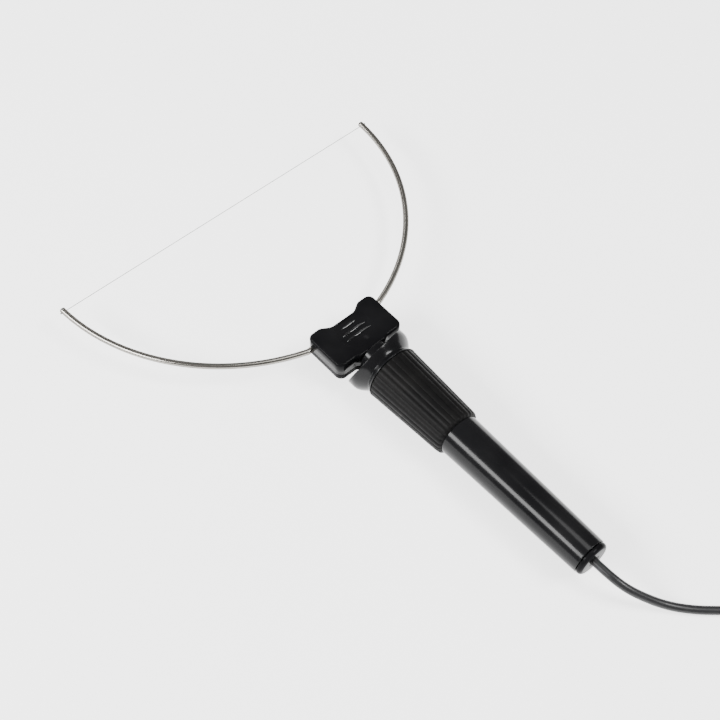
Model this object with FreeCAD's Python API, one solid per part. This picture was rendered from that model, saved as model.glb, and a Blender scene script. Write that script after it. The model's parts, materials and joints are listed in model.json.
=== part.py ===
import FreeCAD, Part
import math
import os

# Hot-wire foam cutter: a sprung steel bow that holds a heating wire, on a plug-in head,
# in a round handle with a ribbed grip and a low-voltage cord.
#
# Millimetres. +Y runs from the handle to the wire, +X to the right hand, +Z up.
# The tool is built with the handle's axis on the Y axis and is lifted by AXIS_HEIGHT when
# it is written; the free cord is built at its true height above the surface, z = 0.

AXIS_HEIGHT = 15.0
CLEARANCE = 0.05

# --- handle, stations along Y ---
HUB_FRONT = 10.8
WING_FRONT = 10.5
WING_REAR = 3.9
NOSE = 0.0
RING_REAR = -3.3
SLEEVE_FRONT = -3.4
SLEEVE_REAR = -49.3
TUBE_REAR = -132.8
CAP_FRONT = -133.2
REAR_FACE = -135.7

# --- handle, radii ---
RING_RADIUS = 15.0
SLEEVE_FRONT_RADIUS = 14.9
SLEEVE_REAR_RADIUS = 12.7
SEAT_RADIUS = 10.6
TUBE_FRONT_RADIUS = 11.05
TUBE_REAR_RADIUS = 9.25
BORE_RADIUS = 8.6
BORE_REAR_RADIUS = 6.9
CAP_RADIUS = 9.0
NECK_RADIUS = 7.3
COLLAR_BORE_RADIUS = NECK_RADIUS + 2 * CLEARANCE
COLLAR_RADIUS = 18.1
WAIST_RADIUS = 13.7
HUB_RADIUS = 9.0
RIDGE_HALF_WIDTH = 0.8
ROOF_SLOPE = 2.3
COLLAR_TURN = 20.0

# --- grip ribs ---
RIB_COUNT = 26
GROOVE_RADIUS = 1.3
GROOVE_SINK = 0.45
GROOVE_FRONT = -5.4

# --- contacts ---
CONTACT_SPACING = 10.0
PIN_RADIUS = 1.2
PIN_TIP = -5.0
PIN_TAIL = 19.0
NECK_REAR = 9.0
SOCKET_FRONT = 8.9
SOCKET_REAR = -16.0
SOCKET_RADIUS = 2.2
TAIL_RADIUS = 0.9
TAIL_END = -20.0

# --- cord inside the handle ---
CORD_RADIUS = 2.1
JACKET_END = -106.0
CLAMP_FRONT = -116.0
CLAMP_REAR = -125.0
CLAMP_RADIUS = 6.8
GROMMET_RADIUS = 3.2

# --- head ---
HEAD_HALF_WIDTH = 20.6
HEAD_FRONT = 37.6
HEAD_WAIST = 34.4
HEAD_REAR = 12.3
HEAD_NECK_FACE = 11.2
HEAD_TOP = 6.8
HEAD_BOTTOM = -5.6
PARTING = -1.5
SHELL_WALL = 1.6
POCKET_TOP = 3.4
DISH_DEPTH = 1.5
DISH_RADIUS = 33.0
DISH_CENTRE_Y = 25.6
HEAD_SCREW_X = 15.4
HEAD_SCREW_Y = 17.6
SCREW_SHOULDER = HEAD_BOTTOM + 1.9
SCREW_TIP = 2.6

# --- bow ---
ROD_RADIUS = 1.5
ROD_Y = 33.7
ROD_INNER_END = 12.8
ARM_RADIUS = 113.7
ARM_CENTRE_X = -13.4
ARM_CENTRE_Y = 141.4
KINK_RADIUS = 5.0
ARM_TIP_Y = 135.7
WIRE_Y = 133.9
WIRE_RADIUS = 0.15
WIRE_HOLE_RADIUS = 0.2
BEAD_RADIUS = 0.4
RIVET_Y = 134.75
RIVET_RADIUS = 0.45

# --- free cord, on the surface ---
CORD_ROUTE = [
    (0.0, REAR_FACE, 15.0),
    (0.0, -144.5, 15.0),
    (2.0, -153.0, 12.6),
    (6.8, -160.5, 8.3),
    (13.4, -169.0, 3.9),
    (21.5, -177.8, 2.15),
    (31.0, -186.5, 2.15),
    (41.0, -194.9, 2.2),
    (52.2, -203.3, 2.4),
    (64.6, -211.7, 2.7),
    (77.6, -219.2, 2.9),
]
COIL_CENTRE = (92.75, -192.96)
COIL_MID_RADIUS = 24.0
COIL_RINGS = 4
COIL_LAYERS = 2
TIE_THICKNESS = 0.8
TIE_WIDTH = 5.0
PLUG_START_X = 114.0
PLUG_Y = COIL_CENTRE[1] - COIL_MID_RADIUS - 1.5 * 2 * CORD_RADIUS
PLUG_RADIUS = 5.2
PLUG_Z = 5.25
PLUG_LENGTH = 30.0
BARREL_RADIUS = 2.75
BARREL_ROOT_RADIUS = 2.5
BARREL_LENGTH = 9.5

Y_AXIS = FreeCAD.Vector(0, 1, 0)
X_AXIS = FreeCAD.Vector(1, 0, 0)
Z_AXIS = FreeCAD.Vector(0, 0, 1)


# ---------------------------------------------------------------- helpers

def point(x, y, z=0.0):
    """A vector from three lengths."""
    return FreeCAD.Vector(x, y, z)


def box(x_range, y_range, z_range):
    """A box between two values on each axis."""
    low = point(x_range[0], y_range[0], z_range[0])
    size = [high - start for start, high in (x_range, y_range, z_range)]
    return Part.makeBox(size[0], size[1], size[2], low)


def rod_y(radius, rear, front, x=0.0, z=0.0):
    """A cylinder along Y."""
    return Part.makeCylinder(radius, front - rear, point(x, rear, z), Y_AXIS)


def rod_x(radius, left, right, y, z=0.0):
    """A cylinder along X."""
    return Part.makeCylinder(radius, right - left, point(left, y, z), X_AXIS)


def rod_z(radius, bottom, top, x, y):
    """A cylinder along Z."""
    return Part.makeCylinder(radius, top - bottom, point(x, y, bottom), Z_AXIS)


def turned(profile):
    """A solid turned about the Y axis from (radius, y) corners."""
    corners = [point(radius, y) for radius, y in profile]
    face = Part.Face(Part.makePolygon(corners + corners[:1]))
    return face.revolve(point(0, 0), Y_AXIS, 360)


def rounded_rims(solid, radius, station):
    """Round the full circles that lie at one station on the Y axis."""
    rims = [
        edge for edge in solid.Edges
        if edge.Closed and abs(edge.BoundBox.YMin - station) < 1e-4 and edge.BoundBox.YLength < 1e-4
    ]
    return solid.makeFillet(radius, rims)


def mirrored(solid):
    """The same piece on the left side."""
    return solid.mirror(point(0, 0), X_AXIS)


def arc_at(before, corner, after, reach):
    """The tangent arc that rounds a corner, its two ends `reach` away from the corner."""
    arriving = (corner - before).normalize()
    leaving = (after - corner).normalize()
    turn = arriving.getAngle(leaving)
    radius = reach / math.tan(turn / 2)
    inward = (leaving - arriving).normalize()
    middle = corner + inward * (radius / math.cos(turn / 2) - radius)
    start = corner - arriving * reach
    end = corner + leaving * reach
    return start, middle, end, radius


def flowing_wire(corners):
    """Straight runs joined by tangent arcs as large as the runs allow; also the arc radii."""
    edges = []
    radii = []
    here = corners[0]
    for before, corner, after in zip(corners, corners[1:], corners[2:]):
        reach = 0.45 * min((corner - before).Length, (after - corner).Length)
        start, middle, end, radius = arc_at(before, corner, after, reach)
        edges.append(Part.LineSegment(here, start).toShape())
        edges.append(Part.Arc(start, middle, end).toShape())
        radii.append(radius)
        here = end
    edges.append(Part.LineSegment(here, corners[-1]).toShape())
    return Part.Wire(edges), radii


def tube_along(wire, radius):
    """A round bar swept along a smooth wire."""
    first = wire.OrderedEdges[0]
    start = first.valueAt(first.FirstParameter)
    direction = first.tangentAt(first.FirstParameter)
    section = Part.Wire(Part.Circle(start, direction, radius).toShape())
    return wire.makePipeShell([section], True, False)


def rounded_outline(corners):
    """A closed flat wire from (x, y, corner radius) values."""
    count = len(corners)
    spots = [point(x, y) for x, y, _ in corners]
    edges = []
    ends = []
    for index, (_, _, radius) in enumerate(corners):
        before, corner, after = spots[index - 1], spots[index], spots[(index + 1) % count]
        turn = (corner - before).getAngle(after - corner)
        start, middle, end, _ = arc_at(before, corner, after, radius * math.tan(turn / 2))
        edges.append(Part.Arc(start, middle, end).toShape())
        ends.append((start, end))
    for index in range(count):
        start = ends[index][1]
        end = ends[(index + 1) % count][0]
        edges.append(Part.LineSegment(start, end).toShape())
    return Part.Wire(Part.__sortEdges__(edges))


# ---------------------------------------------------------------- handle

def bore_profile(y):
    """The handle tube's inner radius at a station."""
    taper_front = -60.0
    if y >= taper_front:
        return BORE_RADIUS
    share = (taper_front - y) / (taper_front - TUBE_REAR)
    return BORE_RADIUS + share * (BORE_REAR_RADIUS - BORE_RADIUS)


def handle_tube():
    """The tapered tube, stepped down where the collar and the sleeve sit."""
    tube = turned([
        (BORE_RADIUS, NOSE),
        (SEAT_RADIUS, NOSE),
        (SEAT_RADIUS, SLEEVE_REAR),
        (TUBE_FRONT_RADIUS, SLEEVE_REAR),
        (TUBE_REAR_RADIUS, TUBE_REAR),
        (BORE_REAR_RADIUS, TUBE_REAR),
        (BORE_RADIUS, -60.0),
    ])
    return tube.cut(socket_screw_pair(CLEARANCE))


def grip_sleeve():
    """The rubber sleeve: a cone with a softened rear rim and lengthwise grooves."""
    slope = (SLEEVE_REAR_RADIUS - SLEEVE_FRONT_RADIUS) / (SLEEVE_REAR - SLEEVE_FRONT)
    sleeve = turned([
        (SEAT_RADIUS, SLEEVE_FRONT),
        (SLEEVE_FRONT_RADIUS, SLEEVE_FRONT),
        (SLEEVE_REAR_RADIUS, SLEEVE_REAR + 1.8),
        (SLEEVE_REAR_RADIUS - 0.5, SLEEVE_REAR + 0.6),
        (SLEEVE_REAR_RADIUS - 1.3, SLEEVE_REAR),
        (SEAT_RADIUS, SLEEVE_REAR),
    ])
    front_lift = SLEEVE_FRONT_RADIUS + slope * (GROOVE_FRONT - SLEEVE_FRONT) + GROOVE_SINK
    start = point(0, GROOVE_FRONT, front_lift)
    end = point(0, SLEEVE_REAR - 3.0, front_lift + slope * (SLEEVE_REAR - 3.0 - GROOVE_FRONT))
    groove = Part.makeCylinder(GROOVE_RADIUS, (end - start).Length, start, end - start)
    groove = groove.fuse(Part.makeSphere(GROOVE_RADIUS, start))
    cutters = []
    for index in range(RIB_COUNT):
        cutter = groove.copy()
        cutter.rotate(point(0, 0), Y_AXIS, 360.0 * (index + 0.5) / RIB_COUNT)
        cutters.append(cutter)
    return sleeve.cut(cutters)


def roof_cutter():
    """Leaves a sloping face that falls back from the ridge along the two wings."""
    profile = [
        point(-25, WING_FRONT, RIDGE_HALF_WIDTH),
        point(-25, WING_FRONT - 9, RIDGE_HALF_WIDTH + 9 * ROOF_SLOPE),
        point(-25, WING_FRONT - 9, 40),
        point(-25, WING_FRONT + 1, 40),
        point(-25, WING_FRONT + 1, RIDGE_HALF_WIDTH),
    ]
    face = Part.Face(Part.makePolygon(profile + profile[:1]))
    return face.extrude(point(50, 0, 0))


def winged_collar():
    """Two wings on a grooved ring, turned on the axis, with a flat underside to lie on."""
    collar = turned([
        (0, WING_FRONT),
        (COLLAR_RADIUS - 0.9, WING_FRONT),
        (COLLAR_RADIUS, WING_FRONT - 0.9),
        (COLLAR_RADIUS - 0.2, WING_REAR + 2.4),
        (COLLAR_RADIUS - 0.7, WING_REAR + 0.4),
        (COLLAR_RADIUS - 1.5, WING_REAR - 0.8),
        (WAIST_RADIUS + 1.3, 1.6),
        (WAIST_RADIUS + 0.3, 0.6),
        (WAIST_RADIUS, -0.5),
        (RING_RADIUS, RING_REAR + 0.4),
        (RING_RADIUS, RING_REAR),
        (0, RING_REAR),
    ])
    upper = roof_cutter()
    lower = roof_cutter()
    lower.rotate(point(0, 0), Y_AXIS, 180)
    collar = collar.cut([upper, lower])
    collar = collar.fuse(rod_y(HUB_RADIUS, NOSE, HUB_FRONT)).removeSplitter()
    collar.rotate(point(0, 0), Y_AXIS, -COLLAR_TURN)
    collar = collar.cut(rod_y(COLLAR_BORE_RADIUS, NOSE - 1, HUB_FRONT + 1))
    collar = collar.cut(rod_y(SEAT_RADIUS, RING_REAR - 1, NOSE))
    underside = box((-20, 20), (RING_REAR - 1, HUB_FRONT + 1), (-25, -AXIS_HEIGHT))
    return collar.cut(underside)


def socket_screw_pair(extra=0.0):
    """Two grub screws, through the tube's nose into the socket block."""
    screws = [
        rod_z(1.2 + extra, 6.0, SEAT_RADIUS - 0.2 + 2 * extra, 0, -8.0),
        rod_z(1.2 + extra, -SEAT_RADIUS + 0.2 - 2 * extra, -6.0, 0, -8.0),
    ]
    return Part.makeCompound(screws)


def socket_screws():
    """The two grub screws, each with a slot."""
    slot = box((-1.5, 1.5), (-8.2, -7.8), (SEAT_RADIUS - 0.9, SEAT_RADIUS))
    slots = [slot, slot.mirror(point(0, 0), Z_AXIS)]
    return socket_screw_pair().cut(slots)


def socket_block():
    """The insulating block in the tube's nose, with a boss inside the collar."""
    block = rod_y(BORE_RADIUS, SOCKET_REAR, NOSE)
    block = block.fuse(rod_y(COLLAR_BORE_RADIUS, NOSE, SOCKET_FRONT))
    for side in (-1, 1):
        x = side * CONTACT_SPACING / 2
        block = block.cut(rod_y(SOCKET_RADIUS, SOCKET_REAR - 1, SOCKET_FRONT + 1, x))
    return block.cut(socket_screw_pair()).removeSplitter()


def socket_contact(side):
    """A brass socket with a solder tail."""
    x = side * CONTACT_SPACING / 2
    contact = rod_y(SOCKET_RADIUS, SOCKET_REAR, SOCKET_FRONT, x)
    contact = contact.fuse(rod_y(TAIL_RADIUS, TAIL_END, SOCKET_REAR, x))
    bore_rear = PIN_TIP - 1.5
    return contact.cut(rod_y(PIN_RADIUS + CLEARANCE, bore_rear, SOCKET_FRONT + 1, x))


def shrink_sleeve(side):
    """Heat-shrink over the soldered joint."""
    x = side * CONTACT_SPACING / 2
    outside = rod_y(1.5, TAIL_END - 4.5, SOCKET_REAR - 0.8, x)
    return outside.cut(rod_y(TAIL_RADIUS, TAIL_END - 6, SOCKET_REAR, x))


def lead_wire(side):
    """One insulated core, from the solder tail back to the cord's jacket."""
    route = [
        point(side * CONTACT_SPACING / 2, TAIL_END),
        point(side * CONTACT_SPACING / 2, TAIL_END - 12),
        point(side * 1.0, JACKET_END + 14),
        point(side * 1.0, JACKET_END),
    ]
    wire, _ = flowing_wire(route)
    return tube_along(wire, TAIL_RADIUS)


def clamp_half(side):
    """Half of the cord clamp, above or below the cord."""
    split_gap = 0.3
    half = rod_y(CLAMP_RADIUS, CLAMP_REAR, CLAMP_FRONT)
    half = half.cut(rod_y(CORD_RADIUS, CLAMP_REAR - 1, CLAMP_FRONT + 1))
    if side > 0:
        keep = box((-8, 8), (CLAMP_REAR - 1, CLAMP_FRONT + 1), (split_gap, 8))
    else:
        keep = box((-8, 8), (CLAMP_REAR - 1, CLAMP_FRONT + 1), (-8, -split_gap))
    half = half.common(keep)
    return half.cut(clamp_screws())


def clamp_screws():
    """Two screws that draw the clamp's halves together."""
    y = (CLAMP_FRONT + CLAMP_REAR) / 2
    screws = []
    for x in (-4.3, 4.3):
        shank = rod_z(0.8, -3.6, 3.4, x, y)
        head = rod_z(1.3, 3.4, 4.6, x, y)
        screws.append(shank.fuse(head))
    return Part.makeCompound(screws)


def cord_inner():
    """The held end of the cord, from the stripped cores to the rear face."""
    return rod_y(CORD_RADIUS, REAR_FACE, JACKET_END)


def end_cap():
    """The rear cap: a rounded disc with a spigot in the tube."""
    spigot_front = -128.8
    disc = turned([(0, CAP_FRONT), (CAP_RADIUS, CAP_FRONT), (CAP_RADIUS, REAR_FACE), (0, REAR_FACE)])
    disc = rounded_rims(disc, 1.9, REAR_FACE)
    disc = rounded_rims(disc, 0.3, CAP_FRONT)
    spigot = rod_y(bore_profile(spigot_front) - 2 * CLEARANCE, CAP_FRONT, spigot_front)
    spigot = spigot.common(turned([
        (0, CAP_FRONT),
        (BORE_REAR_RADIUS, CAP_FRONT),
        (BORE_REAR_RADIUS, TUBE_REAR),
        (bore_profile(spigot_front), spigot_front),
        (0, spigot_front),
    ]))
    return disc.fuse(spigot).cut(rod_y(GROMMET_RADIUS, REAR_FACE - 1, spigot_front + 1)).removeSplitter()


def grommet():
    """The soft ring between the cord and the cap."""
    ring = rod_y(GROMMET_RADIUS, REAR_FACE, -129.5)
    return ring.cut(rod_y(CORD_RADIUS, REAR_FACE - 1, -128.0))


# ---------------------------------------------------------------- head

def head_outline():
    """The head seen from above: two lobes in front and behind, with a waist between them."""
    right = [
        (7.4, HEAD_WAIST, 5.0),
        (12.4, HEAD_FRONT, 4.0),
        (HEAD_HALF_WIDTH, HEAD_FRONT, 3.6),
        (HEAD_HALF_WIDTH, HEAD_REAR, 3.8),
        (10.4, HEAD_REAR, 3.0),
        (8.0, HEAD_NECK_FACE, 1.0),
    ]
    left = [(-x, y, radius) for x, y, radius in reversed(right)]
    return rounded_outline(right + left)


def head_blank(bottom, top):
    """The head's outline between two heights."""
    outline = head_outline()
    outline.translate(point(0, 0, bottom))
    return Part.Face(outline).extrude(point(0, 0, top - bottom))


def rim_edges(solid, height):
    """The edges that lie wholly at one height."""
    return [
        edge for edge in solid.Edges
        if abs(edge.BoundBox.ZMin - height) < 1e-4 and abs(edge.BoundBox.ZMax - height) < 1e-4
    ]


def head_pocket(bottom, top):
    """The room inside the shells, with the screw pillars left standing."""
    middle = box((-18.6, 18.6), (HEAD_REAR + 2.0, 31.8), (bottom, top))
    pocket = middle
    for side in (-1, 1):
        inner, outer = sorted((side * 11.6, side * 18.6))
        pocket = pocket.fuse(box((inner, outer), (31.0, HEAD_FRONT - SHELL_WALL), (bottom, top)))
    for side in (-1, 1):
        pocket = pocket.cut(rod_z(3.0, bottom, top, side * HEAD_SCREW_X, HEAD_SCREW_Y))
        corner = box(
            sorted((side * HEAD_SCREW_X, side * 19.0)),
            (HEAD_REAR, HEAD_SCREW_Y + 3.0),
            (bottom, top),
        )
        pocket = pocket.cut(corner)
    return pocket


def thumb_dish():
    """The shallow hollow in the top of the head."""
    return Part.makeSphere(DISH_RADIUS, point(0, DISH_CENTRE_Y, HEAD_TOP - DISH_DEPTH + DISH_RADIUS))


def dish_ribs():
    """Three bowed ribs that stand a little proud of the hollow."""
    bow_radius = 34.0
    half_width = 0.75
    half_length = 7.2
    floor = HEAD_TOP - 2.8
    above = thumb_dish()
    above.translate(point(0, 0, 0.6))
    ribs = []
    for y in (30.1, 26.5, 23.0):
        centre_y = y - bow_radius
        ring = rod_z(bow_radius + half_width, floor, HEAD_TOP, 0, centre_y)
        ring = ring.cut(rod_z(bow_radius - half_width, floor - 1, HEAD_TOP + 1, 0, centre_y))
        rib = ring.common(box((-half_length, half_length), (y - 3, y + 2), (floor, HEAD_TOP)))
        ribs.append(rib.cut(above))
    return ribs


def carrier_tongue(extra=0.0):
    """The part of the pin carrier that passes the head's rear wall."""
    return box((-7.2 - extra, 7.2 + extra), (HEAD_NECK_FACE - 1, 16.4), (-3.4 - extra, 3.3 + extra))


def head_top_shell():
    """The upper shell, with the dish, its ribs and the slots for the rods."""
    shell = head_blank(PARTING, HEAD_TOP)
    shell = shell.makeFillet(1.5, rim_edges(shell, HEAD_TOP))
    shell = shell.makeChamfer(0.2, rim_edges(shell, PARTING))
    shell = shell.cut(thumb_dish())
    shell = shell.fuse(dish_ribs())
    shell = shell.cut(head_pocket(PARTING, POCKET_TOP))
    shell = shell.cut(carrier_tongue())
    for side in (-1, 1):
        inner, outer = sorted((side * 18.0, side * 22.0))
        shell = shell.cut(rod_x(ROD_RADIUS, inner, outer, ROD_Y))
        slot = box((inner, outer), (ROD_Y - ROD_RADIUS, ROD_Y + ROD_RADIUS), (PARTING - 1, 0))
        shell = shell.cut(slot)
        shell = shell.cut(rod_z(1.0, PARTING, SCREW_TIP, side * HEAD_SCREW_X, HEAD_SCREW_Y))
    return shell.removeSplitter()


def head_bottom_shell():
    """The lower shell, with the counterbored screw holes."""
    shell = head_blank(HEAD_BOTTOM, PARTING)
    shell = shell.makeFillet(1.5, rim_edges(shell, HEAD_BOTTOM))
    shell = shell.makeChamfer(0.2, rim_edges(shell, PARTING))
    shell = shell.cut(head_pocket(HEAD_BOTTOM + SHELL_WALL, PARTING))
    shell = shell.cut(carrier_tongue())
    for side in (-1, 1):
        x = side * HEAD_SCREW_X
        shell = shell.cut(rod_z(2.0, HEAD_BOTTOM - 1, SCREW_SHOULDER, x, HEAD_SCREW_Y))
        shell = shell.cut(rod_z(1.0, HEAD_BOTTOM, PARTING, x, HEAD_SCREW_Y))
    return shell.removeSplitter()


def head_screws():
    """Two self-tapping screws, in from below, with cross slots."""
    screws = []
    head_bottom = SCREW_SHOULDER - 1.4
    for side in (-1, 1):
        x = side * HEAD_SCREW_X
        screw = rod_z(2.0, head_bottom, SCREW_SHOULDER, x, HEAD_SCREW_Y)
        screw = screw.fuse(rod_z(1.0, SCREW_SHOULDER, SCREW_TIP, x, HEAD_SCREW_Y))
        slot_depth = (head_bottom - 1, head_bottom + 0.7)
        along = box((x - 1.2, x + 1.2), (HEAD_SCREW_Y - 0.25, HEAD_SCREW_Y + 0.25), slot_depth)
        across = box((x - 0.25, x + 0.25), (HEAD_SCREW_Y - 1.2, HEAD_SCREW_Y + 1.2), slot_depth)
        screws.append(screw.cut([along, across]))
    return Part.makeCompound(screws)


def pin_carrier():
    """The insulating carrier: a round neck, a tongue and an inner flange."""
    carrier = rod_y(NECK_RADIUS, NECK_REAR, HEAD_NECK_FACE)
    carrier = carrier.fuse(box((-7.2, 7.2), (HEAD_NECK_FACE, 16.4), (-3.4, 3.3)))
    carrier = carrier.fuse(box((-8.6, 8.6), (HEAD_REAR + 2.0, 16.4), (-3.9, 3.3)))
    for side in (-1, 1):
        x = side * CONTACT_SPACING / 2
        carrier = carrier.cut(rod_y(PIN_RADIUS, NECK_REAR - 1, 17.0, x))
    return carrier.removeSplitter()


def contact_pin(side):
    """A brass pin with a rounded tip."""
    pin = rod_y(PIN_RADIUS, PIN_TIP, PIN_TAIL, side * CONTACT_SPACING / 2)
    return rounded_rims(pin, 0.5, PIN_TIP)


def bus_link(side):
    """A flat strip from the pin's tail to the rod's terminal."""
    corners = [(3.2, 16.6), (7.2, 16.6), (15.2, 28.6), (15.2, 30.7), (12.4, 30.7), (12.4, 29.4), (3.2, 19.2)]
    spots = [point(side * x, y, -0.4) for x, y in corners]
    strip = Part.Face(Part.makePolygon(spots + spots[:1])).extrude(point(0, 0, 0.8))
    return strip.cut(rod_y(PIN_RADIUS, 16.0, PIN_TAIL, side * CONTACT_SPACING / 2))


def terminal(side):
    """A brass block in a front lobe, bored for the rod."""
    block = box(sorted((side * 12.2, side * 18.2)), (30.7, 35.9), (-2.9, 2.4))
    block = block.cut(rod_x(ROD_RADIUS, *sorted((side * 11.0, side * 20.0)), ROD_Y))
    return block.cut(terminal_screws())


def terminal_screws():
    """The screws that clamp the rods, one in each terminal."""
    screws = []
    for side in (-1, 1):
        x = side * 15.2
        y = ROD_Y
        bottom = -2.4
        shank = rod_z(1.0, bottom, -ROD_RADIUS, x, y)
        head = rod_z(1.8, bottom - 1.2, bottom, x, y)
        slot = box((x - 2, x + 2), (y - 0.25, y + 0.25), (bottom - 2, bottom - 0.7))
        screws.append(shank.fuse(head).cut(slot))
    return Part.makeCompound(screws)


# ---------------------------------------------------------------- bow

def arm_wire():
    """The right rod's centre line: straight out of the head, a tight kink, then the long arc."""
    kink_y = ROD_Y + KINK_RADIUS
    drop = ARM_CENTRE_Y - kink_y
    kink_x = ARM_CENTRE_X + math.sqrt((ARM_RADIUS - KINK_RADIUS) ** 2 - drop ** 2)
    join = math.atan2(-drop, kink_x - ARM_CENTRE_X)
    tip = math.asin((ARM_TIP_Y - ARM_CENTRE_Y) / ARM_RADIUS)
    kink = [
        on_circle(kink_x, kink_y, KINK_RADIUS, angle)
        for angle in (-math.pi / 2, (join - math.pi / 2) / 2, join)
    ]
    sweep = [
        on_circle(ARM_CENTRE_X, ARM_CENTRE_Y, ARM_RADIUS, angle)
        for angle in (join, (join + tip) / 2, tip)
    ]
    return Part.Wire([
        Part.LineSegment(point(ROD_INNER_END, ROD_Y), kink[0]).toShape(),
        Part.Arc(*kink).toShape(),
        Part.Arc(*sweep).toShape(),
    ])


def on_circle(centre_x, centre_y, radius, angle):
    """A point on a flat circle."""
    return point(centre_x + radius * math.cos(angle), centre_y + radius * math.sin(angle))


def wire_hole_x():
    """Where the rod's centre line crosses the heating wire."""
    return ARM_CENTRE_X + math.sqrt(ARM_RADIUS ** 2 - (ARM_CENTRE_Y - WIRE_Y) ** 2)


def bow_arm(side):
    """One bent steel rod, cross-drilled for the wire and the rivet."""
    arm = tube_along(arm_wire(), ROD_RADIUS)
    reach = wire_hole_x()
    arm = arm.cut(rod_x(WIRE_HOLE_RADIUS, reach - 3, reach + 3, WIRE_Y))
    arm = arm.cut(rod_z(RIVET_RADIUS, -2, 2, reach, RIVET_Y))
    if side < 0:
        arm = mirrored(arm)
    return arm


def wire_rivets():
    """A small cross pin near each rod's tip."""
    rivets = []
    for side in (-1, 1):
        rivets.append(rod_z(RIVET_RADIUS, -1.6, 1.6, side * wire_hole_x(), RIVET_Y))
    return Part.makeCompound(rivets)


def cutting_wire():
    """The straight heating wire, with a bead outside each rod."""
    reach = wire_hole_x() + ROD_RADIUS + 0.25
    wire = rod_x(WIRE_RADIUS, -reach, reach, WIRE_Y)
    for side in (-1, 1):
        bead = Part.makeSphere(BEAD_RADIUS, point(side * (reach + BEAD_RADIUS / 2), WIRE_Y))
        wire = wire.fuse(bead)
    return wire.removeSplitter()


# ---------------------------------------------------------------- free cord

def cord_lead():
    """The stretch from the rear face to the coil."""
    wire, radii = flowing_wire([point(*spot) for spot in CORD_ROUTE])
    tube = tube_along(wire, CORD_RADIUS)
    section = math.pi * CORD_RADIUS ** 2
    print("cord radii", [round(radius, 1) for radius in radii])
    print("cord volume / (section x length)", round(tube.Volume / (section * wire.Length), 4))
    return tube


def coil_radii():
    """The coil's inner and outer radius."""
    half_band = COIL_RINGS * CORD_RADIUS
    return COIL_MID_RADIUS - half_band, COIL_MID_RADIUS + half_band


def coil_top():
    """The height of the coil's upper face."""
    return TIE_THICKNESS + 2 * CORD_RADIUS * COIL_LAYERS


def cord_coil():
    """The outer shape of the put-away turns."""
    inner, outer = coil_radii()
    ring = rod_z(outer, TIE_THICKNESS, coil_top(), *COIL_CENTRE)
    return ring.cut(rod_z(inner, 0, coil_top() + 1, *COIL_CENTRE))


def cord_tie():
    """The strap that holds the turns together."""
    inner, outer = coil_radii()
    x = COIL_CENTRE[0]
    y = COIL_CENTRE[1]
    half = TIE_WIDTH / 2
    play = 0.3
    strap = box(
        (x - half, x + half),
        (y + inner - play - TIE_THICKNESS, y + outer + TIE_THICKNESS),
        (0, coil_top() + TIE_THICKNESS),
    )
    room = box((x - half - 1, x + half + 1), (y + inner - play, y + outer), (TIE_THICKNESS, coil_top()))
    return strap.cut(room)


def cord_tail():
    """The last few millimetres, from the coil to the plug."""
    height = coil_top() - CORD_RADIUS
    route = [
        point(COIL_CENTRE[0], PLUG_Y, height),
        point(COIL_CENTRE[0] + 6.8, PLUG_Y, height),
        point(COIL_CENTRE[0] + 14.2, PLUG_Y, height - 1.1),
        point(PLUG_START_X, PLUG_Y, PLUG_Z),
    ]
    wire, radii = flowing_wire(route)
    print("tail radii", [round(radius, 1) for radius in radii])
    return tube_along(wire, CORD_RADIUS)


def turned_x(profile):
    """A solid turned about the plug's axis from (x, radius) corners."""
    corners = [point(PLUG_START_X + x, PLUG_Y + radius, PLUG_Z) for x, radius in profile]
    face = Part.Face(Part.makePolygon(corners + corners[:1]))
    return face.revolve(point(0, PLUG_Y, PLUG_Z), X_AXIS, 360)


def plug_body():
    """The moulded plug: a tapered relief and a round body."""
    return turned_x([
        (0, 0),
        (0, 2.7),
        (11.0, 3.7),
        (12.0, PLUG_RADIUS - 0.5),
        (13.0, PLUG_RADIUS),
        (PLUG_LENGTH - 1.0, PLUG_RADIUS),
        (PLUG_LENGTH, PLUG_RADIUS - 0.8),
        (PLUG_LENGTH, BARREL_ROOT_RADIUS),
        (PLUG_LENGTH - 4.0, BARREL_ROOT_RADIUS),
        (PLUG_LENGTH - 4.0, 0),
    ])


def plug_barrel():
    """The metal outer contact."""
    end = PLUG_LENGTH + BARREL_LENGTH
    start = PLUG_LENGTH - 4.0
    return turned_x([
        (start, 2.1),
        (start, BARREL_ROOT_RADIUS),
        (PLUG_LENGTH, BARREL_ROOT_RADIUS),
        (PLUG_LENGTH, BARREL_RADIUS),
        (end, BARREL_RADIUS),
        (end, 2.1),
    ])


def plug_insulator():
    """The insulating lining inside the barrel."""
    end = PLUG_LENGTH + BARREL_LENGTH - 0.3
    start = PLUG_LENGTH - 4.0
    return turned_x([(start, 1.35), (start, 2.1), (end, 2.1), (end, 1.35)])


def plug_contact():
    """The inner contact tube."""
    end = PLUG_LENGTH + BARREL_LENGTH - 1.0
    start = PLUG_LENGTH - 4.0
    return turned_x([(start, 1.05), (start, 1.35), (end, 1.35), (end, 1.05)])


# ---------------------------------------------------------------- output

SIDES = (("left", -1), ("right", 1))

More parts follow.
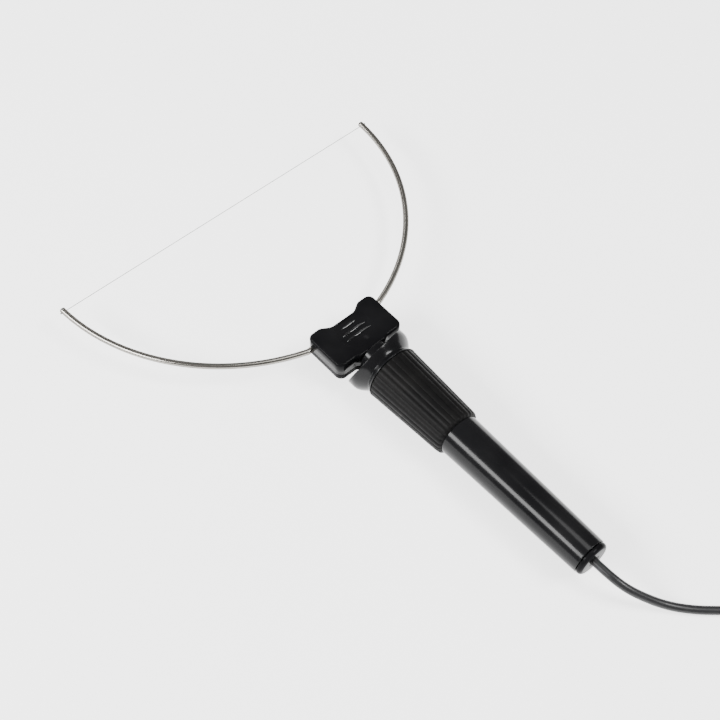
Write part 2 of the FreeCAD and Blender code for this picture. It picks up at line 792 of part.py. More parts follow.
on_axis = {
    "handle_tube": handle_tube(),
    "grip_sleeve": grip_sleeve(),
    "winged_collar": winged_collar(),
    "socket_block": socket_block(),
    "socket_screws": socket_screws(),
    "clamp_top": clamp_half(1),
    "clamp_bottom": clamp_half(-1),
    "clamp_screws": clamp_screws(),
    "cord_inner": cord_inner(),
    "end_cap": end_cap(),
    "grommet": grommet(),
    "head_top_shell": head_top_shell(),
    "head_bottom_shell": head_bottom_shell(),
    "head_screws": head_screws(),
    "pin_carrier": pin_carrier(),
    "terminal_screws": terminal_screws(),
    "wire_rivets": wire_rivets(),
    "cutting_wire": cutting_wire(),
}
for side_name, side_sign in SIDES:
    on_axis["socket_contact_" + side_name] = socket_contact(side_sign)
    on_axis["shrink_sleeve_" + side_name] = shrink_sleeve(side_sign)
    on_axis["lead_wire_" + side_name] = lead_wire(side_sign)
    on_axis["contact_pin_" + side_name] = contact_pin(side_sign)
    on_axis["bus_link_" + side_name] = bus_link(side_sign)
    on_axis["terminal_" + side_name] = terminal(side_sign)
    on_axis["bow_arm_" + side_name] = bow_arm(side_sign)

on_surface = {
    "cord_lead": cord_lead(),
    "cord_coil": cord_coil(),
    "cord_tie": cord_tie(),
    "cord_tail": cord_tail(),
    "plug_body": plug_body(),
    "plug_barrel": plug_barrel(),
    "plug_insulator": plug_insulator(),
    "plug_contact": plug_contact(),
}

os.makedirs("parts", exist_ok=True)
for solid in on_axis.values():
    solid.translate(point(0, 0, AXIS_HEIGHT))
for node, solid in {**on_axis, **on_surface}.items():
    print(node, solid.isValid(), len(solid.Solids), round(solid.Volume, 1))
    solid.exportStep("parts/" + node + ".step")
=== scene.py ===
import json
import math

import bpy
from mathutils import Matrix, Vector


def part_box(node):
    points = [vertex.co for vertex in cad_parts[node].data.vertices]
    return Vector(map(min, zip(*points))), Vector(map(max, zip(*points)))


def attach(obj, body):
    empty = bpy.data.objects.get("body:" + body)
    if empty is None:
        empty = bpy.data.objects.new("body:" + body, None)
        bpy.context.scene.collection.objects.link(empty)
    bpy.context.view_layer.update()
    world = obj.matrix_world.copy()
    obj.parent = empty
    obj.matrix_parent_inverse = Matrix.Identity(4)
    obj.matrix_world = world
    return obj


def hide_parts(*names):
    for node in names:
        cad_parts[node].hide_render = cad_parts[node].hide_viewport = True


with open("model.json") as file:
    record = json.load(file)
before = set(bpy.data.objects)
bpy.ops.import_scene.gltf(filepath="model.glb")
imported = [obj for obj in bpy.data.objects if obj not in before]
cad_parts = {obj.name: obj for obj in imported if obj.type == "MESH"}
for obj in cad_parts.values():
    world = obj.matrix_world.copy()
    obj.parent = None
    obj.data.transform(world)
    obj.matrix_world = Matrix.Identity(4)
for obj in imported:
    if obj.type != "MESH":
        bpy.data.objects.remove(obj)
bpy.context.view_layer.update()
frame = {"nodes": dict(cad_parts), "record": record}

# A hot-wire foam cutter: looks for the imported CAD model. Metres, in the CAD's own frame:
# +Y runs along the handle to the heating wire, +Z is up and the floor is z = 0.

MM = 0.001

# ------------------------------------------------------------------ places, from the frame

TUBE_LOW, TUBE_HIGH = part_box("handle_tube")
SLEEVE_LOW, SLEEVE_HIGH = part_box("grip_sleeve")
COLLAR_LOW, COLLAR_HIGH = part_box("winged_collar")
CAP_LOW, CAP_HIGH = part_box("end_cap")
GROMMET_LOW, GROMMET_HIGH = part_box("grommet")
CORD_LOW, CORD_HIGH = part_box("cord_inner")
PLUG_LOW, PLUG_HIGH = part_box("plug_body")
COIL_LOW, COIL_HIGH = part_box("cord_coil")
BLOCK_LOW, BLOCK_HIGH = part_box("socket_block")
SHELL_LOW, SHELL_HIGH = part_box("head_top_shell")

AXIS_Z = (TUBE_LOW.z + TUBE_HIGH.z) / 2
TUBE_RADIUS = (TUBE_HIGH.x - TUBE_LOW.x) / 2
SLEEVE_RADIUS = (SLEEVE_HIGH.x - SLEEVE_LOW.x) / 2
CAP_RADIUS = (CAP_HIGH.x - CAP_LOW.x) / 2
CORD_RADIUS = (CORD_HIGH.x - CORD_LOW.x) / 2
BLOCK_RADIUS = (BLOCK_HIGH.x - BLOCK_LOW.x) / 2


# ------------------------------------------------------------------ mesh helpers

def make_piece(name, vertices, faces, material, smooth_angle=35):
    """A mesh object with smooth shading up to an angle."""
    mesh = bpy.data.meshes.new(name)
    mesh.from_pydata([tuple(vertex) for vertex in vertices], [], faces)
    mesh.validate()
    piece = bpy.data.objects.new(name, mesh)
    bpy.context.scene.collection.objects.link(piece)
    mesh.materials.append(material)
    mesh.shade_smooth()
    mesh.set_sharp_from_angle(angle=math.radians(smooth_angle))
    return piece


def grid_faces(rows, columns, loop_rows=False):
    """Quads between rows of points that each close on themselves."""
    faces = []
    last = rows if loop_rows else rows - 1
    for row in range(last):
        after = (row + 1) % rows
        for column in range(columns):
            beside = (column + 1) % columns
            faces.append((
                row * columns + column,
                row * columns + beside,
                after * columns + beside,
                after * columns + column,
            ))
    return faces


def turned(faces):
    """The same faces, seen from their other side."""
    return [face[::-1] for face in faces]


def softened(corners, radius, steps=4):
    """A profile of (along, out) pairs with the corners between its ends rounded."""
    spots = [Vector(corner) for corner in corners]
    result = [spots[0]]
    for before, corner, after in zip(spots, spots[1:], spots[2:]):
        reach = min(radius, 0.45 * (corner - before).length, 0.45 * (after - corner).length)
        start = corner + (before - corner).normalized() * reach
        end = corner + (after - corner).normalized() * reach
        for step in range(steps + 1):
            share = step / steps
            leaving = start.lerp(corner, share)
            arriving = corner.lerp(end, share)
            result.append(leaving.lerp(arriving, share))
    result.append(spots[-1])
    return result


def lathe(name, profile, material, segments=128, smooth_angle=35):
    """A closed ring profile of (y, radius), turned about the handle's axis."""
    vertices = []
    for y, radius in profile:
        for index in range(segments):
            angle = 2 * math.pi * index / segments
            vertices.append((radius * math.cos(angle), y, AXIS_Z + radius * math.sin(angle)))
    faces = grid_faces(len(profile), segments, loop_rows=True)
    return make_piece(name, vertices, faces, material, smooth_angle)


# ------------------------------------------------------------------ materials

class Nodes:
    """A short way to build a node material."""

    def __init__(self, name):
        self.material = bpy.data.materials.new(name)
        self.material.use_nodes = True
        self.tree = self.material.node_tree
        self.shader = self.tree.nodes["Principled BSDF"]
        self.coords = self.tree.nodes.new("ShaderNodeTexCoord").outputs["Object"]

    def set(self, **values):
        """Uniform values, straight on the shader's own sockets."""
        for key, value in values.items():
            self.shader.inputs[key.replace("_", " ")].default_value = value

    def node(self, kind, **links):
        """A new node with each named input linked to a socket or set to a value."""
        new = self.tree.nodes.new(kind)
        for key, value in links.items():
            socket = new.inputs[key.replace("_", " ")]
            if isinstance(value, bpy.types.NodeSocket):
                self.tree.links.new(value, socket)
            else:
                socket.default_value = value
        return new

    def noise(self, scale, detail=3.0):
        """Noise over the object's own coordinates, in features per metre."""
        noise = self.node("ShaderNodeTexNoise", Vector=self.coords, Scale=scale, Detail=detail)
        return noise.outputs["Fac"]

    def ramp(self, factor, low, high, low_at=0.3, high_at=0.7):
        """Two colours blended by a factor."""
        ramp = self.node("ShaderNodeValToRGB", Fac=factor)
        ramp.color_ramp.elements[0].position = low_at
        ramp.color_ramp.elements[0].color = (*low, 1)
        ramp.color_ramp.elements[1].position = high_at
        ramp.color_ramp.elements[1].color = (*high, 1)
        return ramp.outputs["Color"]

    def span(self, factor, low, high):
        """A factor of 0 to 1 moved to a range."""
        return self.node("ShaderNodeMapRange", Value=factor, To_Min=low, To_Max=high).outputs["Result"]

    def link(self, output, socket):
        """Drive one of the shader's inputs."""
        self.tree.links.new(output, self.shader.inputs[socket])

    def bump(self, height, strength, distance):
        """Fine relief on the shader's normal."""
        bump = self.node("ShaderNodeBump", Height=height, Strength=strength, Distance=distance)
        self.link(bump.outputs["Normal"], "Normal")


def gloss_black(name, roughness=0.16, specular=0.16):
    """Moulded glossy plastic: faint orange peel, faint handling haze."""
    nodes = Nodes(name)
    nodes.set(Specular_IOR_Level=specular)
    haze = nodes.noise(55.0, 4.0)
    nodes.link(nodes.ramp(haze, (0.004, 0.004, 0.0045), (0.008, 0.008, 0.0085)), "Base Color")
    nodes.link(nodes.span(nodes.noise(160.0, 5.0), roughness - 0.04, roughness + 0.05), "Roughness")
    nodes.bump(nodes.noise(900.0, 2.0), 0.02, 0.00004)
    return nodes.material


def grip_rubber():
    """Satin thermoplastic rubber with a fine moulded grain."""
    nodes = Nodes("grip_rubber")
    nodes.set(Specular_IOR_Level=0.05)
    grime = nodes.noise(70.0, 5.0)
    nodes.link(nodes.ramp(grime, (0.004, 0.004, 0.0042), (0.007, 0.0068, 0.0066)), "Base Color")
    nodes.link(nodes.span(nodes.noise(220.0, 4.0), 0.36, 0.52), "Roughness")
    nodes.bump(nodes.noise(5200.0, 2.0), 0.16, 0.00008)
    return nodes.material


def cord_sheath():
    """Soft extruded sheath: satin, with faint lengthwise unevenness."""
    nodes = Nodes("cord_sheath")
    nodes.set(Specular_IOR_Level=0.28)
    tone = nodes.noise(120.0, 4.0)
    nodes.link(nodes.ramp(tone, (0.012, 0.012, 0.013), (0.020, 0.020, 0.021)), "Base Color")
    nodes.link(nodes.span(nodes.noise(300.0, 4.0), 0.28, 0.42), "Roughness")
    nodes.bump(nodes.noise(2600.0, 2.0), 0.10, 0.00006)
    return nodes.material


def satin_black():
    """Moulded plastic of the small hidden pieces and the plug."""
    nodes = Nodes("satin_black")
    tone = nodes.noise(150.0, 4.0)
    nodes.link(nodes.ramp(tone, (0.014, 0.014, 0.015), (0.024, 0.024, 0.025)), "Base Color")
    nodes.link(nodes.span(nodes.noise(400.0, 4.0), 0.34, 0.5), "Roughness")
    nodes.bump(nodes.noise(3600.0, 2.0), 0.18, 0.00007)
    return nodes.material


def metal(name, low, high, roughness, edge=1.0, wear=1.0):
    """A metal with fine scuffs, a slight change of tone and an edge tint."""
    nodes = Nodes(name)
    nodes.set(Metallic=1.0, Specular_Tint=(edge, edge, edge, 1))
    scuffs = nodes.noise(1200.0, 6.0)
    nodes.link(nodes.ramp(nodes.noise(45.0, 4.0), low, high), "Base Color")
    nodes.link(nodes.span(scuffs, roughness - 0.07 * wear, roughness + 0.1 * wear), "Roughness")
    nodes.bump(scuffs, 0.04 * wear, 0.00003)
    return nodes.material


def moulded(name, low, high, roughness=0.4):
    """A coloured plastic for cores and insulators."""
    nodes = Nodes(name)
    nodes.link(nodes.ramp(nodes.noise(180.0, 4.0), low, high), "Base Color")
    nodes.link(nodes.span(nodes.noise(500.0, 3.0), roughness - 0.06, roughness + 0.08), "Roughness")
    nodes.bump(nodes.noise(3000.0, 2.0), 0.1, 0.00005)
    return nodes.material


def floor_paper():
    """A seamless pale paper sweep."""
    nodes = Nodes("floor_paper")
    nodes.link(nodes.ramp(nodes.noise(9.0, 5.0), (0.90, 0.90, 0.90), (0.93, 0.93, 0.93)), "Base Color")
    nodes.set(Roughness=0.9, Specular_IOR_Level=0.1, Emission_Color=(1, 1, 1, 1), Emission_Strength=1.9)
    nodes.bump(nodes.noise(700.0, 3.0), 0.04, 0.0001)
    return nodes.material


MATERIALS = {
    "gloss_black": gloss_black("gloss_black"),
    "deep_black": gloss_black("deep_black", 0.11, 0.025),
    "rib_black": gloss_black("rib_black", 0.12, 0.5),
    "satin_black": satin_black(),
    "grip_rubber": grip_rubber(),
    "cord_sheath": cord_sheath(),
    "bow_steel": metal("bow_steel", (0.24, 0.23, 0.21), (0.32, 0.305, 0.28), 0.22, edge=0.05, wear=0.25),
    "heating_wire": metal("heating_wire", (0.07, 0.07, 0.065), (0.14, 0.14, 0.135), 0.4, edge=0.1),
    "screw_steel": metal("screw_steel", (0.50, 0.50, 0.49), (0.62, 0.62, 0.60), 0.28),
    "contact_brass": metal("contact_brass", (0.66, 0.46, 0.19), (0.78, 0.58, 0.27), 0.24),
    "plug_nickel": metal("plug_nickel", (0.62, 0.61, 0.58), (0.74, 0.73, 0.70), 0.16),
    "core_red": moulded("core_red", (0.42, 0.02, 0.015), (0.55, 0.035, 0.025)),
    "core_black": moulded("core_black", (0.015, 0.015, 0.016), (0.028, 0.028, 0.03)),
    "insulator": moulded("insulator", (0.62, 0.60, 0.54), (0.72, 0.70, 0.64)),
}


def dress_nodes():
    """Give every CAD node the material of its slot; the lower shell matches the upper one."""
    for entry in frame["record"]["subparts"]:
        mesh = frame["nodes"][entry["node"]].data
        mesh.materials.clear()
        mesh.materials.append(MATERIALS[entry["material_slot"]])
    frame["nodes"]["head_bottom_shell"].data.materials[0] = MATERIALS["deep_black"]


# ------------------------------------------------------------------ tube and end cap

SEAT_RADIUS = 10.6 * MM
TUBE_REAR_RADIUS = 9.25 * MM
BORE_REAR_RADIUS = 6.9 * MM
BORE_FRONT_END = -60.0 * MM
TUBE_EDGE = 0.35 * MM
CAP_EDGE = 1.9 * MM
CAP_GROOVE = 0.4 * MM
CAP_FIT = 0.1 * MM


def build_tube():
    """The tapered tube, with its seat for the sleeve and its bore."""
    rear = TUBE_LOW.y
    front = TUBE_HIGH.y
    shoulder = SLEEVE_LOW.y
    outside = [
        (front, BLOCK_RADIUS),
        (front, SEAT_RADIUS),
        (shoulder, SEAT_RADIUS),
        (shoulder, TUBE_RADIUS),
        (rear, TUBE_REAR_RADIUS),
        (rear, BORE_REAR_RADIUS),
    ]
    profile = softened(outside, TUBE_EDGE) + [Vector((BORE_FRONT_END, BLOCK_RADIUS))]
    piece = lathe("tube_piece", profile, MATERIALS["gloss_black"])
    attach(piece, "handle")
    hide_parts("handle_tube")


def build_end_cap():
    """The rounded rear cap, set off from the tube by a groove."""
    rear = CAP_LOW.y
    flange = TUBE_LOW.y - CAP_GROOVE
    hole = (GROMMET_HIGH.x - GROMMET_LOW.x) / 2
    rim = []
    for step in range(9):
        angle = math.pi / 2 * step / 8
        y = rear + CAP_EDGE - CAP_EDGE * math.sin(angle)
        radius = CAP_RADIUS - CAP_EDGE + CAP_EDGE * math.cos(angle)
        rim.append(Vector((y, radius)))
    spigot = BORE_REAR_RADIUS - CAP_FIT
    front = [
        Vector((CAP_HIGH.y, hole)),
        Vector((CAP_HIGH.y, spigot)),
        Vector((flange, spigot)),
        Vector((flange, CAP_RADIUS - 0.3 * MM)),
        Vector((flange - 0.12 * MM, CAP_RADIUS - 0.08 * MM)),
        Vector((flange - 0.35 * MM, CAP_RADIUS)),
    ]
    piece = lathe("cap_piece", front + rim + [Vector((rear, hole))], MATERIALS["deep_black"])
    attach(piece, "handle")
    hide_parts("end_cap")


# ------------------------------------------------------------------ grip sleeve

SLEEVE_REAR_RADIUS = 12.7 * MM
SLEEVE_LIP = 0.7 * MM
SLEEVE_REAR_EDGE = 1.9 * MM
RIBS_END = 3.0 * MM
RIB_COUNT = 26
RIB_DEPTH = 0.36 * MM
POINTS_PER_RIB = 18


def below_crest(angle, strength):
    """How far a point on the sleeve lies below the crest: round ridges, narrow valleys."""
    wave = abs(math.cos(RIB_COUNT * angle / 2))
    return RIB_DEPTH * strength * (1 - wave ** 0.75)


def sleeve_outline():
    """Stations along the sleeve: (y, crest radius, rib strength)."""
    front = SLEEVE_HIGH.y
    rear = SLEEVE_LOW.y
    slope = (SLEEVE_REAR_RADIUS - SLEEVE_RADIUS) / (rear - front)
    stations = []
    for step in range(7):
        angle = math.pi / 2 * step / 6
        y = front - SLEEVE_LIP * (1 - math.cos(angle))
        crest = SLEEVE_RADIUS + slope * (y - front) - SLEEVE_LIP * (1 - math.sin(angle))
        stations.append((y, crest, 0.6 + 0.4 * math.sin(angle)))
    ribs_start = front - SLEEVE_LIP
    ribs_stop = rear + RIBS_END
    for step in range(1, 13):
        y = ribs_start + (ribs_stop - ribs_start) * step / 12
        stations.append((y, SLEEVE_RADIUS + slope * (y - front), 1.0))
    for step in range(1, 10):
        angle = math.pi / 2 * step / 9
        y = rear + SLEEVE_REAR_EDGE * (1 - math.sin(angle))
        crest = SLEEVE_REAR_RADIUS - SLEEVE_REAR_EDGE * (1 - math.cos(angle))
        strength = max(0.0, math.cos(angle)) ** 0.5
        stations.append((y, crest, strength))
    return stations


def build_sleeve():
    """The ribbed rubber sleeve."""
    segments = RIB_COUNT * POINTS_PER_RIB
    stations = sleeve_outline()
    vertices = []
    for y, crest, strength in stations:
        for index in range(segments):
            angle = 2 * math.pi * index / segments
            radius = crest - below_crest(angle, strength)
            vertices.append((radius * math.sin(angle), y, AXIS_Z + radius * math.cos(angle)))
    for y in (SLEEVE_LOW.y, SLEEVE_HIGH.y):
        for index in range(segments):
            angle = 2 * math.pi * index / segments
            vertices.append((SEAT_RADIUS * math.sin(angle), y, AXIS_Z + SEAT_RADIUS * math.cos(angle)))
    faces = turned(grid_faces(len(stations) + 2, segments, loop_rows=True))
    piece = make_piece("sleeve_piece", vertices, faces, MATERIALS["grip_rubber"], 50)
    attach(piece, "handle")
    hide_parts("grip_sleeve")


# ------------------------------------------------------------------ collar

WING_FRONT = 10.5 * MM
WING_TURN = math.radians(20)
ROOF_SLOPE = 2.3
RIDGE_HALF_WIDTH = 0.8 * MM
HUB_RADIUS = 9.0 * MM
WAIST_RADIUS = 13.7 * MM
WAIST_Y = -0.6 * MM
WALL_LENGTH = 7.6 * MM
RING_RADIUS = 15.0 * MM
RING_EDGE = 0.5 * MM
BORE_STEP = 1.2 * MM
CREASE_EDGE = 0.45 * MM
COLLAR_RADIUS = (COLLAR_HIGH.x - COLLAR_LOW.x) / 2


def wall_radius(y):
    """The collar's outside: full at the wings, sinking smoothly into the waist behind them."""
    share = min(1.0, max(0.0, (y - WAIST_Y) / WALL_LENGTH))
    rise = math.sin(math.pi / 2 * share) ** 1.35
    return WAIST_RADIUS + (COLLAR_RADIUS - WAIST_RADIUS) * rise


def crease_station(spread):
    """Where the sloping front meets the outside, found by halving.

    spread is 0 along the wings' ridge and 1 square to it.
    """
    low = WAIST_Y
    high = WING_FRONT
    for _ in range(40):
        middle = (low + high) / 2
        roof = RIDGE_HALF_WIDTH + ROOF_SLOPE * (WING_FRONT - middle)
        if wall_radius(middle) * spread < roof:
            low = middle
        else:
            high = middle
    return low


def collar_profile(spread):
    """One closed section of the collar, from the hub over the crease to the rear ring."""
    crease = crease_station(spread)
    hub_foot = WING_FRONT - max(0.0, HUB_RADIUS * spread - RIDGE_HALF_WIDTH) / ROOF_SLOPE
    rear = COLLAR_LOW.y
    bore = BLOCK_RADIUS - BORE_STEP
    outside = [(COLLAR_HIGH.y, bore), (COLLAR_HIGH.y, HUB_RADIUS), (hub_foot, HUB_RADIUS)]
    outside.append((crease, wall_radius(crease)))
    steps = 12
    for step in range(1, steps + 1):
        y = crease + (WAIST_Y - crease) * step / steps
        outside.append((y, wall_radius(y)))
    outside.append((rear + RING_EDGE, RING_RADIUS))
    outside.append((rear, RING_RADIUS))
    outside.append((rear, SEAT_RADIUS))
    return softened(outside, CREASE_EDGE, 3) + [Vector((0, SEAT_RADIUS)), Vector((0, bore))]


def build_collar():
    """The two-winged collar, with its creases softened and its underside flat."""
    segments = 360
    vertices = []
    for index in range(segments):
        angle = 2 * math.pi * index / segments
        spread = abs(math.sin(angle - WING_TURN))
        profile = collar_profile(spread)
        for y, radius in profile:
            height = max(COLLAR_LOW.z, AXIS_Z + radius * math.sin(angle))
            vertices.append((radius * math.cos(angle), y, height))
    faces = turned(grid_faces(segments, len(profile), loop_rows=True))
    piece = make_piece("collar_piece", vertices, faces, MATERIALS["gloss_black"], 50)
    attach(piece, "handle")
    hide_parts("winged_collar")


# ------------------------------------------------------------------ head

# The head is drawn in millimetres. Outline corners of its right half: (x, y, corner radius).
HEAD_CORNERS = [
    (7.4, 34.4, 5.0),
    (12.4, 37.6, 4.0),
    (20.6, 37.6, 3.6),
    (20.6, 12.3, 3.8),
    (10.4, 12.3, 3.0),
    (8.0, 11.2, 2.0),
]
RIM = 1.5
PARTING_EDGE = 0.22
DISH_Y = 25.2
DISH_REACH = 10.2
DISH_DEPTH = 1.5
# Ridges in the dish: (y at the middle, half length).
HEAD_RIBS = [(30.1, 4.8), (26.5, 7.4), (23.0, 7.8)]
RIB_BOW = 34.0
RIB_HALF_WIDTH = 0.8
RIB_HEIGHT = 0.55


def corner_arc(before, corner, after, radius, steps=10):
    """The tangent arc that rounds one corner of a flat outline."""
    arriving = (corner - before).normalized()
    leaving = (after - corner).normalized()
    turn = arriving.angle(leaving)
    inward = (leaving - arriving * math.cos(turn)) / math.sin(turn)
    start = corner - arriving * radius * math.tan(turn / 2)
    points = []
    for step in range(steps + 1):
        angle = turn * step / steps
        ahead = arriving * radius * math.sin(angle)
        aside = inward * radius * (1 - math.cos(angle))
        points.append(start + ahead + aside)
    return points


def head_outline(count):
    """The head's outline in millimetres, as evenly spaced points."""
    corners = HEAD_CORNERS + [(-x, y, radius) for x, y, radius in reversed(HEAD_CORNERS)]
    rough = []
    for index, (x, y, radius) in enumerate(corners):
        before = Vector(corners[index - 1][:2])
        after = Vector(corners[(index + 1) % len(corners)][:2])
        rough += corner_arc(before, Vector((x, y)), after, radius)
    return spaced_evenly(rough, count)


def spaced_evenly(rough, count):
    """A closed line walked in equal steps."""
    spans = [(after - before).length for before, after in zip(rough, rough[1:] + rough[:1])]
    stride = sum(spans) / count
    points = []
    walked = 0.0
    index = 0
    for step in range(count):
        goal = step * stride
        while walked + spans[index] < goal:
            walked += spans[index]
            index += 1
        share = (goal - walked) / spans[index]
        points.append(rough[index].lerp(rough[(index + 1) % len(rough)], share))
    return points


def inset(points, distance):
    """The same closed line, moved inwards."""
    moved = []
    for index, spot in enumerate(points):
        along = (points[(index + 1) % len(points)] - points[index - 1]).normalized()
        moved.append(spot + Vector((along.y, -along.x)) * distance)
    return moved


def dip(x, y):
    """How far the soft thumb dish lies below the head's top."""
    away = min(1.0, math.hypot(x, y - DISH_Y) / DISH_REACH)
    return DISH_DEPTH * (1 - away ** 2) ** 1.5


def head_wall_rows(edge, parting, top):
    """The shell's wall and rounded rim, as outlines with their heights."""
    rows = [(inset(edge, PARTING_EDGE), parting), (edge, parting + PARTING_EDGE)]
    for step in range(8):
        angle = math.pi / 2 * step / 7
        height = top - RIM + RIM * math.sin(angle)
        rows.append((inset(edge, RIM * (1 - math.cos(angle))), height))
    return rows


def build_head_top():
    """The upper shell, with its rounded rim and thumb dish."""
    count = 420
    rings = 96
    top = SHELL_HIGH.z / MM
    parting = SHELL_LOW.z / MM
    edge = head_outline(count)
    rows = head_wall_rows(edge, parting, top)
    vertices = [(spot.x * MM, spot.y * MM, z * MM) for line, z in rows for spot in line]
    centre = Vector((0.0, DISH_Y))
    inner = inset(edge, RIM)
    for ring in range(1, rings):
        for spot in inner:
            place = centre.lerp(spot, 1 - ring / rings)
            vertices.append((place.x * MM, place.y * MM, (top - dip(place.x, place.y)) * MM))
    total_rows = len(rows) + rings - 1
    faces = grid_faces(total_rows, count)
    vertices.append((0.0, DISH_Y * MM, (top - dip(0.0, DISH_Y)) * MM))
    vertices.append((0.0, DISH_Y * MM, parting * MM))
    last = (total_rows - 1) * count
    for column in range(count):
        beside = (column + 1) % count
        faces.append((last + column, last + beside, len(vertices) - 2))
        faces.append((beside, column, len(vertices) - 1))
    piece = make_piece("head_top_piece", vertices, turned(faces), MATERIALS["deep_black"], 50)
    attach(piece, "head")
    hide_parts("head_top_shell")


def build_head_rib(name, centre, half_length):
    """One bowed half-round ridge in the dish, sinking away at both ends."""
    stations = 48
    sides = 24
    vertices = []
    for station in range(stations + 1):
        x = half_length * (2 * station / stations - 1)
        y = centre - x ** 2 / (2 * RIB_BOW)
        swell = max(0.02, 1 - (x / half_length) ** 4)
        level = SHELL_HIGH.z / MM - dip(x, y)
        for side in range(sides):
            angle = 2 * math.pi * side / sides
            across = RIB_HALF_WIDTH * swell * math.cos(angle)
            height = RIB_HEIGHT * swell * math.sin(angle)
            z = min(level + height, SHELL_HIGH.z / MM)
            vertices.append((x * MM, (y + across) * MM, z * MM))
    faces = grid_faces(stations + 1, sides)
    faces.append(tuple(range(sides)))
    faces.append(tuple(range(stations * sides, (stations + 1) * sides))[::-1])
    piece = make_piece(name, vertices, turned(faces), MATERIALS["rib_black"], 60)
    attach(piece, "head")


# ------------------------------------------------------------------ bow

# The arms are drawn in millimetres too. These are for the right one, which the left mirrors.
ROD_RADIUS = 1.5
ROD_Y = 33.7
ROD_INNER_END = 12.8
ARM_RADIUS = 113.7
ARM_CENTRE = Vector((-13.4, 141.4))
KINK_RADIUS = 5.0
ARM_TIP_Y = 135.7
TIP_TAPER = 0.78


def arm_line():
    """The right arm's centre line in millimetres: straight, a tight kink, then the long arc."""
    kink_y = ROD_Y + KINK_RADIUS
    drop = ARM_CENTRE.y - kink_y
    kink_x = ARM_CENTRE.x + math.sqrt((ARM_RADIUS - KINK_RADIUS) ** 2 - drop ** 2)
    kink = Vector((kink_x, kink_y))
    join = math.atan2(-drop, kink_x - ARM_CENTRE.x)
    tip = math.asin((ARM_TIP_Y - ARM_CENTRE.y) / ARM_RADIUS)
    line = [Vector((ROD_INNER_END, ROD_Y))]
    for step in range(9):
        angle = -math.pi / 2 + (join + math.pi / 2) * step / 8
        line.append(kink + KINK_RADIUS * Vector((math.cos(angle), math.sin(angle))))
    for step in range(1, 121):
        angle = join + (tip - join) * step / 120
        line.append(ARM_CENTRE + ARM_RADIUS * Vector((math.cos(angle), math.sin(angle))))
    return line


def build_arm(side, node):
    """One bent steel rod with a slightly rounded tip."""
    curve = bpy.data.curves.new(node + "_piece", "CURVE")
    curve.dimensions = "3D"
    curve.bevel_depth = ROD_RADIUS * MM
    curve.bevel_resolution = 10
    curve.use_fill_caps = True
    line = arm_line()
    taper_start = line[-1].lerp(line[-2], 0.18)
    line.insert(-1, taper_start)
    spline = curve.splines.new("POLY")
    spline.points.add(len(line) - 1)
    for spot, place in zip(spline.points, line):
        spot.co = (side * place.x * MM, place.y * MM, AXIS_Z, 1)
    spline.points[-1].radius = TIP_TAPER
    curve.materials.append(MATERIALS["bow_steel"])
    piece = bpy.data.objects.new(node + "_piece", curve)
    bpy.context.scene.collection.objects.link(piece)
    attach(piece, "head")
    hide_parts(node)


# ------------------------------------------------------------------ free cord

# The loose stretch from the rear face to the coil, in millimetres.
CORD_ROUTE = [
    (0.0, -135.7, 15.0),
    (0.0, -144.5, 15.0),
    (2.0, -153.0, 12.6),
    (6.8, -160.5, 8.3),
    (13.4, -169.0, 3.9),
    (21.5, -177.8, 2.15),
    (31.0, -186.5, 2.15),
    (41.0, -194.9, 2.2),
    (52.2, -203.3, 2.4),
    (64.6, -211.7, 2.7),
]
COIL_TURN_POINTS = 24
COIL_CENTRE = Vector(((COIL_LOW.x + COIL_HIGH.x) / 2, (COIL_LOW.y + COIL_HIGH.y) / 2))
COIL_OUTER = (COIL_HIGH.x - COIL_LOW.x) / 2 - CORD_RADIUS
COIL_RINGS = 4
COIL_START = math.radians(-120)
OVERLAP_TURN = 1 / 12
RING_STEP = 0.2
LAYER_STEP = 0.4


def coil_points():
    """The rings inward on the floor, then as many outward on top of them."""
    turns = 2 * COIL_RINGS + OVERLAP_TURN
    count = round(turns * COIL_TURN_POINTS)
    pitch = 2 * CORD_RADIUS
    low = COIL_LOW.z + CORD_RADIUS
    points = []
    for index in range(count + 1):
        turn = turns * index / count
        angle = COIL_START + 2 * math.pi * turn
        radius = COIL_OUTER - rings_in(turn) * pitch
        height = low + pitch * layer_at(turn)
        points.append((
            COIL_CENTRE.x + radius * math.cos(angle),
            COIL_CENTRE.y + radius * math.sin(angle),
            height,
        ))
    return points


def rings_in(turn):
    """Rings in from the outside after some turns; a step is taken late in each turn."""
    whole = math.floor(turn)
    step = max(0.0, (turn - whole - 1 + RING_STEP) / RING_STEP)
    if whole < COIL_RINGS:
        return min(whole + step, COIL_RINGS - 1)
    return max(0.0, 2 * COIL_RINGS - 1 - whole - step)


def layer_at(turn):
    """0 in the floor layer, rising to 1 in the layer on top of it."""
    return min(1.0, max(0.0, (turn - COIL_RINGS) / LAYER_STEP + 0.5))


def tail_points():
    """From the top of the coil down to the plug."""
    y = (PLUG_LOW.y + PLUG_HIGH.y) / 2
    plug_z = (PLUG_LOW.z + PLUG_HIGH.z) / 2
    upper_z = COIL_HIGH.z - CORD_RADIUS
    return [
        (COIL_CENTRE.x + 6.8 * MM, y, upper_z),
        (COIL_CENTRE.x + 14.2 * MM, y, upper_z - 1.1 * MM),
        (PLUG_LOW.x, y, plug_z),
        (PLUG_LOW.x + 3 * MM, y, plug_z),
    ]


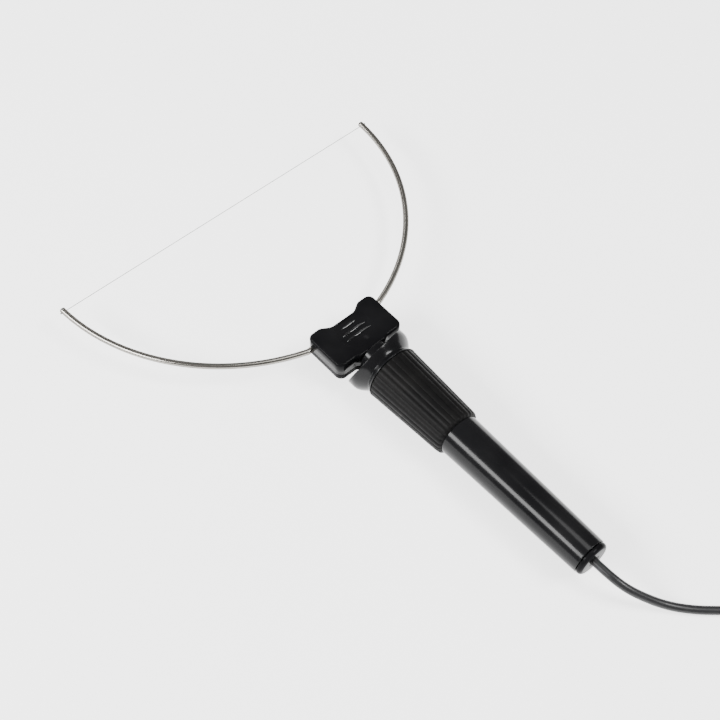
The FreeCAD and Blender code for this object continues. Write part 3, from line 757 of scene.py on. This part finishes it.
def build_cord():
    """One smooth line from the rear face to the plug."""
    points = [(x * MM, y * MM, z * MM) for x, y, z in CORD_ROUTE] + coil_points() + tail_points()
    curve = bpy.data.curves.new("cord_piece", "CURVE")
    curve.dimensions = "3D"
    curve.bevel_depth = CORD_RADIUS
    curve.bevel_resolution = 6
    curve.use_fill_caps = True
    spline = curve.splines.new("NURBS")
    spline.points.add(len(points) - 1)
    for spot, place in zip(spline.points, points):
        spot.co = (*place, 1)
    spline.order_u = 3
    spline.use_endpoint_u = True
    spline.resolution_u = 6
    curve.materials.append(MATERIALS["cord_sheath"])
    piece = bpy.data.objects.new("cord_piece", curve)
    bpy.context.scene.collection.objects.link(piece)
    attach(piece, "handle")
    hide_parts("cord_lead", "cord_coil", "cord_tail")
    return piece


# ------------------------------------------------------------------ the tool

dress_nodes()
build_tube()
build_end_cap()
build_sleeve()
build_collar()
build_head_top()
for index, (centre, half_length) in enumerate(HEAD_RIBS):
    build_head_rib(f"head_rib_{index + 1}", centre, half_length)
build_arm(-1, "bow_arm_left")
build_arm(1, "bow_arm_right")
cord = build_cord()


# ------------------------------------------------------------------ studio

CAMERA_ANGLES = (-41.17, 55.63)
CAMERA_DISTANCE = 0.590
CAMERA_TARGET = Vector((-0.0070, 0.0132, AXIS_Z))
FLOOR_HALF = 6.0


def direction(azimuth, elevation):
    """A unit vector towards a viewer at this azimuth and elevation, in degrees."""
    across = math.radians(azimuth)
    lift = math.radians(elevation)
    return Vector((
        math.sin(across) * math.cos(lift),
        -math.cos(across) * math.cos(lift),
        math.sin(lift),
    ))


def facing(backwards):
    """A rotation whose -Z looks along the opposite of a direction, with no roll."""
    right = Vector((0, 0, 1)).cross(backwards).normalized()
    up = backwards.cross(right)
    return Matrix((right, up, backwards)).transposed().to_4x4()


def place_camera():
    """From above and behind, over the left of the handle."""
    data = bpy.data.cameras.new("camera")
    data.lens = 60.0
    data.sensor_width = 36.0
    camera = bpy.data.objects.new("camera", data)
    bpy.context.scene.collection.objects.link(camera)
    backwards = direction(*CAMERA_ANGLES)
    spot = CAMERA_TARGET + backwards * CAMERA_DISTANCE
    camera.matrix_world = Matrix.Translation(spot) @ facing(backwards)
    bpy.context.scene.camera = camera


def area_light(name, size, power, spot, turn):
    """A rectangular light at a spot, shining along the turn's -Z."""
    data = bpy.data.lights.new(name, "AREA")
    data.shape = "RECTANGLE"
    data.size = size[0]
    data.size_y = size[1]
    data.energy = power
    light = bpy.data.objects.new(name, data)
    bpy.context.scene.collection.objects.link(light)
    light.matrix_world = Matrix.Translation(spot) @ turn


def softbox(name, azimuth, elevation, distance, size, power):
    """A rectangular light that faces the middle of the tool."""
    backwards = direction(azimuth, elevation)
    spot = Vector((0, 0, AXIS_Z)) + backwards * distance
    area_light(name, size, power, spot, facing(backwards))


def strip(name, tilt, distance, y, size, power):
    """A long light parallel to the handle, tilted from overhead towards +X."""
    lean = math.radians(tilt)
    backwards = Vector((math.sin(lean), 0, math.cos(lean)))
    along = Vector((0, 1, 0))
    turn = Matrix((along, backwards.cross(along), backwards)).transposed().to_4x4()
    spot = backwards * distance + Vector((0, y, AXIS_Z))
    area_light(name, size, power, spot, turn)


def build_floor():
    """A wide pale floor."""
    half = FLOOR_HALF
    corners = [(-half, -half, 0), (half, -half, 0), (half, half, 0), (-half, half, 0)]
    floor = make_piece("floor", corners, [(0, 1, 2, 3)], floor_paper())


def light_world(strength):
    """A dim neutral surround."""
    world = bpy.data.worlds.new("surround")
    world.use_nodes = True
    background = world.node_tree.nodes["Background"]
    background.inputs["Color"].default_value = (1, 1, 1, 1)
    background.inputs["Strength"].default_value = strength
    bpy.context.scene.world = world


build_floor()
place_camera()
light_world(0.34)
strip("long_strip", tilt=-53, distance=1.5, y=0.62, size=(1.5, 0.46), power=56)
softbox("edge_light", azimuth=37, elevation=50, distance=1.8, size=(0.7, 0.45), power=30)
softbox("overhead", azimuth=60, elevation=82, distance=2.2, size=(0.8, 0.8), power=11)
softbox("dish_light", azimuth=164, elevation=34, distance=2.0, size=(0.5, 0.3), power=3)
